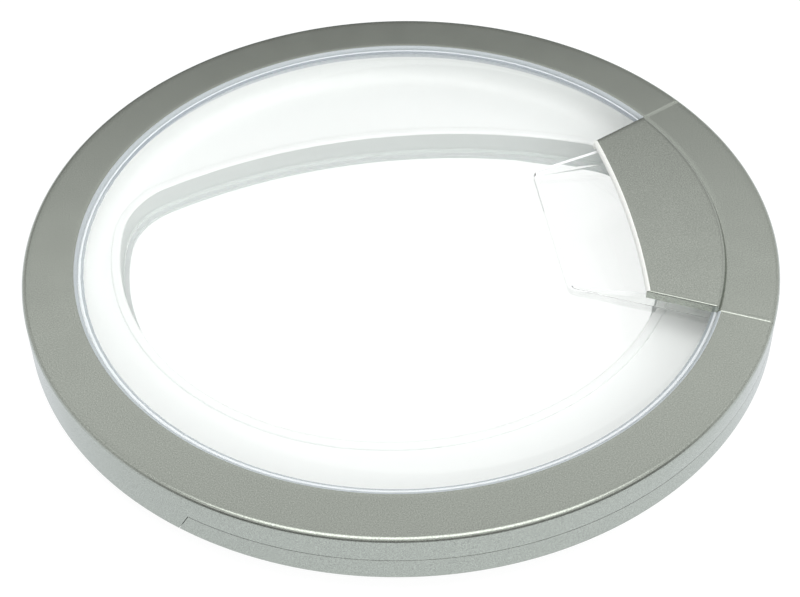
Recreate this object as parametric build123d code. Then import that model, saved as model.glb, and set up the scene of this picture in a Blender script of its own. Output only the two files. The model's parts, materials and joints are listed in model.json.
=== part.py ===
"""A round tumble-dryer door, lying on its back with the front face up.

Silver ring and grip, clear front panel with a finger pocket, white inner frame with a
flat-sided collar, clear inner pane, seals, hinge at -X and latch hook at +X. Millimetres.
The Z axis is the axis of the ring, and Z = 0 is the table under the collar.
"""

import os
from math import cos, radians, sin

from build123d import *

# Front ring
ring_outer_radius = 246.5
ring_face_width = 35.8
ring_depth = 35.0
ring_wall = 2.5
lip_depth = 4.0
lip_wall = 2.0
inner_round = 2.2
face_round = 3.4
rear_bevel = 1.7
upper_skirt_depth = 17.7

# Deep tab of the ring's skirt that covers the hinge, and the seam round it
tab_half_angle_top = 51.4
tab_half_angle_bottom = 49.8
seam_gap = 0.4

# Grip plate and the part of the ring face that it carries
handle_half_angle = 27.2
handle_skin = 2.6
handle_joint = 0.25
seat_overlap = 1.0
grip_rise = 3.2
grip_thickness = 3.0
grip_overhang = 59.1
grip_lap = 0.6
grip_edge_radius = 600.0
grip_nose_fillet = 2.4
grip_side_fillet = 1.0
grip_side_wall = 2.2
handle_boss_diameter = 8.0
handle_boss_spread = 18.0
sleeve_wall = 1.8
sleeve_height = 6.0

# Clear front panel and its finger pocket
panel_drop = 3.0
panel_thickness = 3.0
panel_rim_rise = 1.0
panel_rim_width = 3.4
panel_bevel = 1.8
panel_flange_width = 6.0
pocket_length = 102.0
pocket_half_width = 57.0
pocket_flare = 0.30
pocket_inset = 5.7
pocket_wall = 2.4
pocket_shallow = 4.5
pocket_deep = 22.0
pocket_corner = 4.0

# White inner frame with its shelf and upstand, and the collar that hangs from it
shelf_drop = 30.0
shelf_thickness = 2.3
shelf_edge_gap = 1.5
shelf_cove = 12.0
upstand_wall = 2.5
upstand_inset = 1.0
round_side_shelf = 24.7
opening_offset = 37.0
flat_side_shelf = 68.7
flat_side_radius = 380.0
opening_corner = 55.0
collar_drop = 15.0
collar_wall = 2.5
collar_lip = 4.0
collar_lip_thickness = 1.6
lip_rounding = 0.85
pane_ledge = 4.0
pane_ledge_thickness = 1.6
rib_count = 36
rib_thickness = 1.6
rib_height = 6.0

# Clear inner pane and the seals
pane_thickness = 4.0
pane_seal_thickness = 0.8
panel_seal_thickness = 4.5
drum_seal_width = 8.0
drum_seal_height = 7.0
drum_seal_round = 2.5

# Silver rear ring
rear_flange_lap = 1.7

# Screws that hold the door together
boss_inset = 15.0
boss_diameter = 9.0
boss_angles = (45, 68, 90, 112, 135, 225, 248, 270, 292, 315)
boss_rib_thickness = 1.6
boss_rib_height = 12.0
pilot_diameter = 3.2
pilot_depth = 14.0
screw_clearance_diameter = 4.6
screw_shank_diameter = 3.1
screw_length = 16.0
screw_head_diameter = 8.4
screw_head_height = 2.4
socket_width = 1.2
socket_length = 5.0
socket_depth = 1.2

# Hinge
hinge_axis_inset = 14.5
knuckle_radius = 7.0
hinge_floor_gap = 0.2
leaf_thickness = 2.5
leaf_reach = 32.0
hinge_half_length = 45.0
knuckle_gap = 0.4
centre_knuckle_length = 36.0
bush_flange_thickness = 1.2
bush_wall = 1.2
bush_fit = 0.05
pin_diameter = 6.0
pin_fit = 0.05
pin_head_diameter = 9.0
pin_head_height = 2.0
pin_tail = 3.0
pin_groove_diameter = 4.6
clip_diameter = 11.0
clip_thickness = 0.9
hinge_screw_y = 34.0
hinge_boss_gap = 1.6
plate_hole_diameter = 5.2
plate_hole_reach = 20.0
plate_hole_y = 28.0
leaf_corner = 6.0

# Latch hook
latch_screw_y = 15.0
latch_base_thickness = 3.0
latch_base_width = 18.0
latch_base_length = 44.0
hook_thickness = 7.0
hook_width = 12.0
hook_floor_gap = 1.0
hook_nose = 4.0
hook_nose_height = 5.0

fit_gap = 0.3
cut_over = 1.0

# Levels, worked out from the table upwards
front_z = ring_depth + collar_drop
rear_z = collar_drop
seam_z = front_z - upper_skirt_depth
shelf_top_z = front_z - shelf_drop
shelf_bottom_z = shelf_top_z - shelf_thickness
panel_top_z = front_z - panel_drop
panel_bottom_z = panel_top_z - panel_thickness
seat_top_z = front_z - handle_skin - handle_joint
seat_bottom_z = seat_top_z - ring_wall
sleeve_bottom_z = seat_bottom_z - sleeve_height
grip_top_z = front_z + grip_rise
grip_bottom_z = grip_top_z - grip_thickness
pane_bottom_z = pane_ledge_thickness + pane_seal_thickness
hinge_axis_z = knuckle_radius + hinge_floor_gap
skirt_inner_radius = ring_outer_radius - ring_wall
ring_opening_radius = ring_outer_radius - ring_face_width
tab_half_width_top = ring_outer_radius * sin(radians(tab_half_angle_top))
tab_half_width_bottom = ring_outer_radius * sin(radians(tab_half_angle_bottom))
grip_reach = ring_opening_radius - grip_overhang
pocket_outer_radius = ring_opening_radius - pocket_inset
pocket_chord = pocket_outer_radius - pocket_length
opening_radius = ring_opening_radius - round_side_shelf
flat_side_reach = ring_opening_radius - flat_side_shelf
boss_circle_radius = skirt_inner_radius - boss_inset
panel_radius = ring_opening_radius + panel_flange_width
upstand_outer = panel_radius - upstand_inset
upstand_inner = upstand_outer - upstand_wall
upstand_top_z = panel_bottom_z - panel_seal_thickness
rear_flange_inner = upstand_outer - rear_flange_lap
hinge_axis_x = hinge_axis_inset - ring_outer_radius
hinge_screw_radius = upstand_outer + hinge_boss_gap + boss_diameter / 2
hinge_screw_x = -((hinge_screw_radius**2 - hinge_screw_y**2) ** 0.5)
plate_hole_x = hinge_axis_x + plate_hole_reach
latch_x = boss_circle_radius


def turned(points, start=0.0, sweep=360.0):
    """Revolves a closed outline of (radius, height) points about the ring's axis."""
    outline = make_face(Plane.XZ * Polyline(*points, close=True))
    return Rot(0, 0, start) * revolve(outline, Axis.Z, sweep)


def tube(outer, inner, bottom, top):
    """A plain round ring between two radii and two heights."""
    section = Circle(outer) - Circle(inner)
    return extrude(Plane.XY.offset(bottom) * section, top - bottom)


def rod(x, y, bottom, top, diameter):
    """An upright round bar at a place in plan."""
    return Pos(x, y, bottom) * extrude(Circle(diameter / 2), top - bottom)


def polar(radius, angle):
    """The plan position at a radius and an angle in degrees."""
    return radius * cos(radians(angle)), radius * sin(radians(angle))


def quarter_arc(start, corner, end):
    """The round that takes the place of a square corner between two points, each as far from it."""
    middle = Vector(*start) + Vector(*end) - Vector(*corner)
    outward = (Vector(*corner) - middle).normalized()
    crown = middle + outward * (Vector(*start) - middle).length
    return ThreePointArc(start, (crown.X, crown.Y), end)


def face_solid(inner, skin, start, sweep):
    """The front face in section, carried round: inner edge, flat face and round outer edge."""
    bottom = front_z - skin
    side_z = front_z - face_round
    brow = (ring_outer_radius - face_round, front_z)
    cheek = (ring_outer_radius, side_z)
    lip = (inner, front_z - inner_round)
    bridge = (inner + inner_round, front_z)
    edges = quarter_arc(lip, (inner, front_z), bridge) + quarter_arc(brow, (ring_outer_radius, front_z), cheek)
    back = Polyline(cheek, (skirt_inner_radius, side_z), (skirt_inner_radius, bottom), (inner, bottom), lip)
    section = make_face(Plane.XZ * (edges + Line(bridge, brow) + back))
    return Rot(0, 0, start) * revolve(section, Axis.Z, sweep)


def skirt_solid(*back):
    """A skirt with a bevelled rear edge, carried round; back runs from that edge to the skirt's top."""
    brow = (ring_outer_radius, rear_z + rear_bevel)
    cheek = (ring_outer_radius - rear_bevel, rear_z)
    return turned([brow, cheek, *back])


def hinge_wedge(grow):
    """The block, narrower towards the rear, that the deep tab of the skirt fills."""
    top_half = tab_half_width_top + grow
    bottom_half = tab_half_width_bottom + grow
    slope = (top_half - bottom_half) / (seam_z - rear_z)
    high = seam_z + cut_over
    low = rear_z - cut_over
    outline = Polyline(
        (-top_half - slope * cut_over, high),
        (top_half + slope * cut_over, high),
        (bottom_half - slope * cut_over, low),
        (-bottom_half + slope * cut_over, low),
        close=True,
    )
    return extrude(Plane.YZ * make_face(outline), -(ring_outer_radius + cut_over))


def handle_sector(inner, outer, bottom, top, spare=0.0):
    """The sector about +X that the grip takes up, between two radii and two heights."""
    half = handle_half_angle + spare
    return turned([(inner, bottom), (outer, bottom), (outer, top), (inner, top)], -half, 2 * half)


def screw_places():
    """Plan positions of the screws that clamp the inner frame and rear ring to the ring."""
    return [polar(boss_circle_radius, angle) for angle in boss_angles]


def hinge_screw_places():
    """Plan positions of the screws through the hinge's door leaf."""
    return [(hinge_screw_x, side * hinge_screw_y) for side in (1, -1)]


def latch_screw_places():
    """Plan positions of the screws through the latch base."""
    return [(latch_x, side * latch_screw_y) for side in (1, -1)]


def all_screw_places():
    """Plan positions of every screw that goes up into a boss of the ring."""
    return screw_places() + hinge_screw_places() + latch_screw_places()


def handle_boss_places():
    """Plan positions of the bosses under the grip's ring part."""
    radius = boss_circle_radius
    return [polar(radius, step * handle_boss_spread) for step in (-1, 1)]


def opening_outline(grow=0.0):
    """The inner opening: a circle, a flatter far side and two round corners, all tangent arcs."""
    round_radius = opening_radius - opening_corner
    flat_radius = flat_side_radius - opening_corner
    flat_y = flat_side_reach - flat_side_radius
    gap = opening_offset - flat_y
    corner_y = opening_offset + (flat_radius**2 - round_radius**2 - gap**2) / (2 * gap)
    corner_x = (round_radius**2 - (corner_y - opening_offset) ** 2) ** 0.5
    corner = Vector(corner_x, corner_y)
    side_way = (corner - Vector(0, opening_offset)).normalized()
    far_way = (corner - Vector(0, flat_y)).normalized()
    side = corner + side_way * (opening_corner + grow)
    bend = corner + (side_way + far_way).normalized() * (opening_corner + grow)
    far = corner + far_way * (opening_corner + grow)
    crown = Vector(0, flat_side_reach + grow)
    foot = Vector(0, opening_offset - opening_radius - grow)
    right = [side, bend, far]
    left = [Vector(-p.X, p.Y) for p in right]
    arcs = [
        ThreePointArc(left[0], foot, right[0]),
        ThreePointArc(*right),
        ThreePointArc(right[2], crown, left[2]),
        ThreePointArc(left[2], left[1], left[0]),
    ]
    return make_face(arcs)


def slab(sketch, bottom, top):
    """A plan outline raised between two heights."""
    return extrude(Plane.XY.offset(bottom) * sketch, top - bottom)


def pocket_plan(grow):
    """The finger pocket in plan: flared sides, a straight inner edge, a round outer edge."""
    far_x = pocket_outer_radius + cut_over
    near_x = pocket_chord - grow
    near_y = pocket_half_width + grow - pocket_flare * grow
    far_y = near_y + pocket_flare * (far_x - near_x)
    outline = Polyline((near_x, -near_y), (far_x, -far_y), (far_x, far_y), (near_x, near_y), close=True)
    face = make_face(outline)
    inner_corners = face.vertices().sort_by(Axis.X)[:2]
    face = fillet(inner_corners, pocket_corner + grow)
    return face & Circle(pocket_outer_radius + grow)


def pocket_block(grow, top):
    """The pocket's space, or with a wall's growth its outer form, under a sloping floor."""
    run = pocket_outer_radius - pocket_chord
    shallow_z = panel_top_z - pocket_shallow - grow
    deep_z = panel_top_z - pocket_deep - grow
    slope = (shallow_z - deep_z) / run
    start_x = pocket_chord - pocket_wall - cut_over
    end_x = pocket_outer_radius + pocket_wall + cut_over
    start_z = shallow_z + slope * (pocket_chord - start_x)
    end_z = deep_z - slope * (end_x - pocket_outer_radius)
    side = Polyline((start_x, start_z), (end_x, end_z), (end_x, top), (start_x, top), close=True)
    wedge = extrude(Plane.XZ * make_face(side), ring_outer_radius, both=True)
    return slab(pocket_plan(grow), deep_z - ring_depth, top) & wedge


def make_outer_ring():
    """Front ring: face with round edge, inner lip, skirt, hinge tab, grip seat, bosses and ribs."""
    face = face_solid(ring_opening_radius, ring_wall, 0, 360)
    lip = tube(ring_opening_radius + lip_wall, ring_opening_radius, front_z - lip_depth, front_z - ring_wall)
    skirt = tube(ring_outer_radius, skirt_inner_radius, seam_z, front_z - face_round)
    ring = face + lip + skirt
    back = [(skirt_inner_radius, rear_z), (skirt_inner_radius, seam_z), (ring_outer_radius, seam_z)]
    ring += skirt_solid(*back) & hinge_wedge(0)
    ring -= handle_sector(
        ring_opening_radius - cut_over, ring_outer_radius + cut_over, seat_top_z, front_z + cut_over
    )
    seat_inner = panel_radius + fit_gap
    seat_outer = skirt_inner_radius + ring_wall / 2
    seat_lip_z = front_z - lip_depth
    ring += handle_sector(ring_opening_radius, seat_outer, seat_lip_z, seat_top_z, seat_overlap)
    ring += handle_sector(seat_inner, seat_outer, seat_bottom_z, seat_top_z, seat_overlap)
    boss_top = front_z - ring_wall / 2
    for x, y in screw_places() + hinge_screw_places():
        ring += rod(x, y, shelf_top_z, boss_top, boss_diameter)
    for x, y in latch_screw_places():
        ring += rod(x, y, shelf_top_z, seat_top_z - ring_wall / 2, boss_diameter)
    for angle in boss_angles:
        length = skirt_inner_radius + ring_wall / 2 - boss_circle_radius
        rib = Box(length, boss_rib_thickness, boss_rib_height, align=(Align.MIN, Align.CENTER, Align.MAX))
        ring += Rot(0, 0, angle) * Pos(boss_circle_radius, 0, boss_top) * rib
    for x, y in all_screw_places():
        ring -= rod(x, y, shelf_top_z - cut_over, shelf_top_z + pilot_depth, pilot_diameter)
    hole = handle_boss_diameter + 2 * fit_gap
    for x, y in handle_boss_places():
        ring += rod(x, y, sleeve_bottom_z, seat_bottom_z + ring_wall / 2, hole + 2 * sleeve_wall)
        ring -= rod(x, y, sleeve_bottom_z - cut_over, seat_top_z + cut_over, hole)
    return ring


def make_handle():
    """Grip: a stretch of ring face, a raised plate over the pocket, side walls and bosses."""
    half = handle_half_angle
    segment = face_solid(ring_opening_radius, handle_skin, -half, 2 * half)
    segment -= tube(ring_outer_radius + cut_over, skirt_inner_radius - cut_over, rear_z, front_z - handle_skin)
    grip_outer = ring_opening_radius + grip_lap
    grip_plan = Circle(grip_outer) - Pos(grip_reach - grip_edge_radius, 0) * Circle(grip_edge_radius)
    wide = Polyline(
        (0, 0),
        polar(2 * ring_outer_radius, -half),
        polar(2 * ring_outer_radius, half),
        close=True,
    )
    grip_plan = grip_plan & make_face(wide)
    plate = slab(grip_plan, grip_bottom_z, grip_top_z)
    web_floor = panel_top_z + panel_rim_rise + fit_gap
    web_plan = grip_plan & (Circle(grip_outer) - Circle(grip_outer - grip_side_wall))
    web = slab(web_plan, web_floor, grip_top_z - grip_thickness / 2)
    plate = plate + web
    rim = plate.faces().sort_by(Axis.Z)[-1].edges().sort_by(Axis.X)
    plate = fillet([rim[0], rim[-1]], grip_nose_fillet)
    rim = plate.faces().sort_by(Axis.Z)[-1].edges().sort_by(Axis.X)
    plate = fillet(rim[1:-1], grip_side_fillet)
    side_floor = panel_top_z + fit_gap
    walls = slab(grip_plan, side_floor, grip_bottom_z + grip_thickness / 2)
    wall_radius = ring_opening_radius - panel_rim_width - fit_gap
    walls = walls & slab(Circle(wall_radius), side_floor, grip_top_z)
    inner_sector = Pos(grip_side_wall / sin(radians(half)), 0) * make_face(wide)
    plate += walls - slab(inner_sector, side_floor - cut_over, grip_top_z)
    handle = segment + plate
    for side in (1, -1):
        handle -= Rot(0, 0, side * half) * Box(4 * ring_outer_radius, 2 * handle_joint, 4 * ring_outer_radius)
    for x, y in handle_boss_places():
        handle += rod(x, y, sleeve_bottom_z + fit_gap, front_z - handle_skin / 2, handle_boss_diameter)
        handle -= rod(x, y, sleeve_bottom_z - cut_over, front_z - handle_skin / 2, pilot_diameter)
    return handle


def make_window_panel():
    """Clear front panel: disc with a bevelled raised rim, clamped flange and finger pocket."""
    rim_outer = ring_opening_radius - fit_gap
    rim_inner = rim_outer - panel_rim_width
    rim_top_z = panel_top_z + panel_rim_rise
    flange_top_z = front_z - lip_depth
    panel = turned(
        [
            (0, panel_bottom_z),
            (panel_radius, panel_bottom_z),
            (panel_radius, flange_top_z),
            (rim_outer, flange_top_z),
            (rim_outer, rim_top_z),
            (rim_inner + panel_bevel, rim_top_z),
            (rim_inner, panel_top_z),
            (0, panel_top_z),
        ]
    )
    panel += pocket_block(pocket_wall, panel_top_z - panel_thickness / 2)
    panel -= pocket_block(0, panel_top_z + cut_over)
    return panel


def cove():
    """The round hollow that leads from the shelf into its upstand, with roots in both."""
    foot = upstand_inner - shelf_cove
    crest_z = shelf_top_z + shelf_cove
    middle = shelf_cove * (1 - sin(radians(45)))
    root_r = upstand_inner + upstand_wall / 2
    root_z = shelf_top_z - shelf_thickness / 2
    hollow = ThreePointArc(
        (foot, shelf_top_z),
        (upstand_inner - middle, shelf_top_z + middle),
        (upstand_inner, crest_z),
    )
    back = Polyline(
        (upstand_inner, crest_z),
        (root_r, crest_z),
        (root_r, root_z),
        (foot, root_z),
        (foot, shelf_top_z),
    )
    return revolve(make_face(Plane.XZ * (hollow + back)), Axis.Z)


def make_inner_frame():
    """White inner frame: flat shelf with the flat-sided opening, upstand and hidden ribs."""
    shelf_radius = skirt_inner_radius - shelf_edge_gap
    shelf_hole = opening_outline(collar_wall + fit_gap)
    frame = slab(Circle(shelf_radius) - shelf_hole, shelf_bottom_z, shelf_top_z)
    frame += tube(upstand_outer, upstand_inner, shelf_top_z - shelf_thickness / 2, upstand_top_z)
    lip_room = opening_outline(collar_wall + collar_lip + fit_gap)
    frame += cove() - slab(lip_room, shelf_top_z, shelf_top_z + shelf_cove)
    rib_run = shelf_radius - upstand_outer + upstand_wall / 2
    rib = Box(rib_run, rib_thickness, rib_height, align=(Align.MIN, Align.CENTER, Align.MIN))
    for step in range(rib_count):
        angle = 360.0 * (step + 0.5) / rib_count
        middle = Vector(*polar(boss_circle_radius, angle))
        nearest = min((middle - Vector(x, y)).length for x, y in all_screw_places())
        foot = Pos(upstand_outer - upstand_wall / 2, 0, shelf_top_z - fit_gap)
        if nearest > boss_diameter:
            frame += Rot(0, 0, angle) * foot * rib
    for x, y in all_screw_places():
        frame -= rod(x, y, shelf_bottom_z - cut_over, shelf_top_z + cut_over, screw_clearance_diameter)
    return frame


def make_collar():
    """Collar that hangs in the shelf's opening on a rounded lip, with a ledge for the pane."""
    hole = opening_outline()
    wall = opening_outline(collar_wall)
    collar = slab(wall - hole, 0, shelf_top_z)
    lip_plan = opening_outline(collar_wall + collar_lip) - hole
    collar += slab(lip_plan, shelf_top_z, shelf_top_z + collar_lip_thickness)
    top = collar.faces().sort_by(Axis.Z)[-1]
    collar = fillet(top.edges(), collar_lip_thickness * lip_rounding)
    return collar + slab(hole - opening_outline(-pane_ledge), 0, pane_ledge_thickness)


def make_rear_ring():
    """Silver rear ring: flat flange behind the inner frame and the lower band of the skirt."""
    band_top = seam_z - seam_gap
    ring = skirt_solid(
        (rear_flange_inner, rear_z),
        (rear_flange_inner, shelf_bottom_z),
        (skirt_inner_radius, shelf_bottom_z),
        (skirt_inner_radius, band_top),
        (ring_outer_radius, band_top),
    )
    tab_space = tube(
        ring_outer_radius + cut_over,
        skirt_inner_radius - fit_gap,
        rear_z - cut_over,
        seam_z + cut_over,
    )
    ring -= tab_space & hinge_wedge(seam_gap)
    for x, y in all_screw_places():
        ring -= rod(x, y, rear_z - cut_over, shelf_bottom_z + cut_over, screw_clearance_diameter)
    return ring


def make_panel_seal():
    """Foam ring between the front panel's flange and the inner frame's upstand."""
    return tube(upstand_outer, upstand_inner, upstand_top_z, panel_bottom_z)


def make_inner_pane():
    """Clear inner pane that lies in the collar on its seal."""
    return slab(opening_outline(-fit_gap), pane_bottom_z, pane_bottom_z + pane_thickness)


def make_pane_seal():
    """Thin rubber gasket between the pane and the collar's ledge."""
    gasket = opening_outline(-fit_gap) - opening_outline(-pane_ledge)
    return slab(gasket, pane_ledge_thickness, pane_bottom_z)


def make_drum_seal():
    """Rubber profile round the collar that closes against the drum's mouth."""
    inner = collar_wall + fit_gap
    section = opening_outline(inner + drum_seal_width) - opening_outline(inner)
    seal = slab(section, shelf_bottom_z - drum_seal_height, shelf_bottom_z)
    bottom = seal.faces().sort_by(Axis.Z)[0]
    return fillet(bottom.edges(), drum_seal_round)


def make_screw(x, y, seat_z, length):
    """A pan-head screw that points upwards, with a slot in its head."""
    screw = rod(x, y, seat_z - screw_head_height, seat_z, screw_head_diameter)
    screw = fillet(screw.faces().sort_by(Axis.Z)[0].edges(), screw_head_height / 3)
    screw += rod(x, y, seat_z - screw_head_height / 2, seat_z + length, screw_shank_diameter)
    slot_z = seat_z - screw_head_height
    for turn in (0, 90):
        screw -= Pos(x, y, slot_z) * Rot(0, 0, turn) * Box(socket_length, socket_width, 2 * socket_depth)
    return screw


def knuckle_bounds():
    """Start and end along Y of the three knuckles: two on the door leaf, one between them."""
    half = centre_knuckle_length / 2
    gap = knuckle_gap + bush_flange_thickness
    return (-hinge_half_length, -half - gap), (-half, half), (half + gap, hinge_half_length)


def barrel(start, end, diameter):
    """A round bar along the hinge axis."""
    bar = Cylinder(diameter / 2, end - start, align=(Align.CENTER, Align.CENTER, Align.MIN))
    return Pos(hinge_axis_x, start, hinge_axis_z) * Rot(-90, 0, 0) * bar


def leaf_plan(start, end, reach):
    """A leaf's outline in plan with rounded free corners."""
    outline = Polyline(
        (hinge_axis_x, start),
        (hinge_axis_x + reach, start),
        (hinge_axis_x + reach, end),
        (hinge_axis_x, end),
        close=True,
    )
    face = make_face(outline)
    return fillet(face.vertices().sort_by(Axis.X)[-2:], leaf_corner)


def make_hinge_arm():
    """Door leaf: steel plate under the rear ring with a knuckle at each end."""
    leaf = leaf_plan(-hinge_half_length, hinge_half_length, leaf_reach)
    arm = slab(leaf, rear_z - leaf_thickness, rear_z)
    low, _, high = knuckle_bounds()
    room = barrel(low[1], high[0], 2 * (knuckle_radius + fit_gap + leaf_thickness))
    arm -= room
    for start, end in (low, high):
        post = Pos(hinge_axis_x, (start + end) / 2, hinge_axis_z) * Box(
            2 * knuckle_radius,
            end - start,
            rear_z - hinge_axis_z,
            align=(Align.CENTER, Align.CENTER, Align.MIN),
        )
        arm += post + barrel(start, end, 2 * knuckle_radius)
    arm -= barrel(-2 * hinge_half_length, 2 * hinge_half_length, pin_diameter)
    for x, y in hinge_screw_places():
        arm -= rod(x, y, rear_z - leaf_thickness - cut_over, rear_z + cut_over, screw_clearance_diameter)
    return arm


def make_hinge_plate():
    """Cabinet leaf: steel plate with two fixing holes and the centre knuckle."""
    low, centre, high = knuckle_bounds()
    bottom = hinge_axis_z - knuckle_radius
    leaf = leaf_plan(-hinge_half_length, hinge_half_length, leaf_reach)
    plate = slab(leaf, bottom, bottom + leaf_thickness)
    for start, end in (low, high):
        outer = knuckle_gap + bush_flange_thickness
        inner_end = end + outer if end < 0 else end + cut_over
        inner_start = start - cut_over if end < 0 else start - outer
        plate -= barrel(inner_start, inner_end, 2 * (knuckle_radius + fit_gap + leaf_thickness))
    plate += barrel(centre[0], centre[1], 2 * knuckle_radius)
    bore = pin_diameter + 2 * (bush_wall + pin_fit + bush_fit)
    plate -= barrel(centre[0] - cut_over, centre[1] + cut_over, bore)
    top = bottom + 2 * leaf_thickness
    for y in (plate_hole_y, -plate_hole_y):
        plate -= rod(plate_hole_x, y, bottom - cut_over, top, plate_hole_diameter)
    return plate


def make_bush(side):
    """Flanged plastic bush in one end of the centre knuckle."""
    end = knuckle_bounds()[1][1]
    inside = end - centre_knuckle_length / 3
    outer = pin_diameter + 2 * (bush_wall + pin_fit)
    bush = barrel(inside, end, outer)
    bush += barrel(end, end + bush_flange_thickness, 2 * knuckle_radius - 2 * fit_gap)
    bush -= barrel(inside - cut_over, end + 2 * bush_flange_thickness, pin_diameter + 2 * pin_fit)
    return bush if side > 0 else mirror(bush, Plane.XZ)


def make_hinge_pin():
    """Steel hinge pin with a flat head at one end."""
    pin = barrel(-hinge_half_length - pin_head_height / 2, hinge_half_length + pin_tail, pin_diameter)
    pin += barrel(-hinge_half_length - pin_head_height, -hinge_half_length, pin_head_diameter)
    start, end = pin_groove_bounds()
    pin -= barrel(start, end, 2 * pin_diameter) - barrel(start, end, pin_groove_diameter)
    return pin


def pin_groove_bounds():
    """Start and end along Y of the groove in the pin's free end."""
    start = hinge_half_length + fit_gap
    return start, start + clip_thickness + fit_gap


def make_pin_clip():
    """Open spring clip in the pin's groove, which keeps the pin in its knuckles."""
    start = pin_groove_bounds()[0]
    clip = barrel(start, start + clip_thickness, clip_diameter)
    clip -= barrel(start - cut_over, start + 2 * clip_thickness, pin_groove_diameter + 2 * pin_fit)
    mouth = Box(
        clip_diameter,
        4 * clip_thickness,
        pin_groove_diameter - 2 * pin_fit,
        align=(Align.MIN, Align.CENTER, Align.CENTER),
    )
    return clip - Pos(hinge_axis_x, start, hinge_axis_z) * mouth


def make_latch_hook():
    """Latch hook: a base screwed to the rear ring and a nose that the lock catches."""
    base = Pos(latch_x, 0, rear_z) * Box(
        latch_base_width,
        latch_base_length,
        latch_base_thickness,
        align=(Align.CENTER, Align.CENTER, Align.MAX),
    )
    base = fillet(base.edges().filter_by(Axis.Z), latch_base_thickness)
    root_x = latch_x - hook_thickness / 2
    side = Polyline(
        (root_x, rear_z - latch_base_thickness / 2),
        (root_x + hook_thickness, rear_z - latch_base_thickness / 2),
        (root_x + hook_thickness, hook_floor_gap + hook_nose / 2),
        (root_x + hook_thickness - hook_nose / 2, hook_floor_gap),
        (root_x, hook_floor_gap),
        (root_x - hook_nose, hook_floor_gap + hook_nose),
        (root_x - hook_nose, hook_floor_gap + hook_nose_height),
        (root_x, hook_floor_gap + hook_nose_height),
        close=True,
    )
    hook = base + extrude(Plane.XZ * make_face(side), hook_width / 2, both=True)
    for x, y in latch_screw_places():
        hook -= rod(x, y, rear_z - 2 * latch_base_thickness, rear_z + cut_over, screw_clearance_diameter)
    return hook


def screw_group(places, seat_z, length):
    """Separate like screws that share one node."""
    return Compound(children=[make_screw(x, y, seat_z, length) for x, y in places])


handle_screw_length = seat_top_z - sleeve_bottom_z

pieces = {
    "outer_ring": make_outer_ring(),
    "handle": make_handle(),
    "window_panel": make_window_panel(),
    "panel_seal": make_panel_seal(),
    "inner_frame": make_inner_frame(),
    "collar": make_collar(),
    "inner_pane": make_inner_pane(),
    "pane_seal": make_pane_seal(),
    "drum_seal": make_drum_seal(),
    "rear_ring": make_rear_ring(),
    "frame_screws": screw_group(screw_places(), rear_z, screw_length),
    "handle_screws": screw_group(handle_boss_places(), sleeve_bottom_z, handle_screw_length),
    "hinge_arm": make_hinge_arm(),
    "hinge_screws": screw_group(hinge_screw_places(), rear_z - leaf_thickness, screw_length),
    "hinge_plate": make_hinge_plate(),
    "upper_bush": make_bush(1),
    "lower_bush": make_bush(-1),
    "hinge_pin": make_hinge_pin(),
    "pin_clip": make_pin_clip(),
    "latch_hook": make_latch_hook(),
    "latch_screws": screw_group(latch_screw_places(), rear_z - latch_base_thickness, screw_length),
}

os.makedirs("parts", exist_ok=True)
for name, solid in pieces.items():
    solid.label = name
    export_step(solid, "parts/" + name + ".step")
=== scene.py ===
import json

import bmesh
import bpy
import numpy as np
from mathutils import Matrix, Vector


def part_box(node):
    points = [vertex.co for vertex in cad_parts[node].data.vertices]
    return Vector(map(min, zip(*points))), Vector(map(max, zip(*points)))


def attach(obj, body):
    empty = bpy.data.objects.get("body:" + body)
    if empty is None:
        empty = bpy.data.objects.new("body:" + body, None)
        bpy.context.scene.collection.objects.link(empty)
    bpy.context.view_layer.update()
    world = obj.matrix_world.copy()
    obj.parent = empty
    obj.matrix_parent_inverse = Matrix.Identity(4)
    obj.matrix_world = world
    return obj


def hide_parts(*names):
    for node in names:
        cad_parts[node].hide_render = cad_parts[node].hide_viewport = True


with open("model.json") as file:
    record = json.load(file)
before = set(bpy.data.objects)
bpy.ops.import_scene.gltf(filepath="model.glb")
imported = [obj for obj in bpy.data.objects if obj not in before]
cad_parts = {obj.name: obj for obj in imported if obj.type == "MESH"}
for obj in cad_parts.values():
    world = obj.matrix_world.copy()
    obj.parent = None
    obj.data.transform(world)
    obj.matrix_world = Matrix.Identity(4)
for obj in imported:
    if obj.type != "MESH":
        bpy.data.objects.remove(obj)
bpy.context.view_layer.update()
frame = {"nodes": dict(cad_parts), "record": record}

# Front ring: one moulding in silver-painted plastic with a flat face, a bare inner edge whose pale tone
# is partly a painted sheen, and a skirt that reaches further down over the hinge. The grip is let into a
# step in its face, and the screws that hold the door together go up into round bosses behind it.
MM = 0.001
ring_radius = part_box("outer_ring")[1][0]
ring_opening = ring_radius - 35.8 * MM
front_z = 50.0 * MM
rear_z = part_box("rear_ring")[0][2]
seam_z = front_z - 17.7 * MM
skirt_wall = 2.5 * MM
ring_back_z = front_z - skirt_wall
lip_z = front_z - 4.0 * MM
lip_outer = ring_opening + 2.0 * MM
inner_round = 2.2 * MM
face_round = 3.4 * MM
rear_bevel = 1.7 * MM
seam_break = 0.2 * MM
seat_z = front_z - 2.85 * MM
seat_back_z = seat_z - 2.5 * MM
seat_inner = ring_opening + 6.3 * MM
grip_half_angle = np.radians(27.2)
tab_half_angle = np.radians(51.9)
tab_taper = np.radians(2.1)
joint_break = 0.3 * MM
joint_bevel = 0.6 * MM
boss_radius = 4.5 * MM
boss_pilot = 1.6 * MM
pilot_depth = 15.0 * MM
sleeve_radius = 6.1 * MM
sleeve_bore = 4.3 * MM
sleeve_height = 6.0 * MM
rib_width = 1.6 * MM
rib_depth = 12.0 * MM
shelf_z = 20.0 * MM


def polyline(*points):
    """An array of (across, up) points from points, or from shorter arrays put end to end."""
    return np.concatenate([np.atleast_2d(np.asarray(p, dtype=float)) for p in points])


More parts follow.
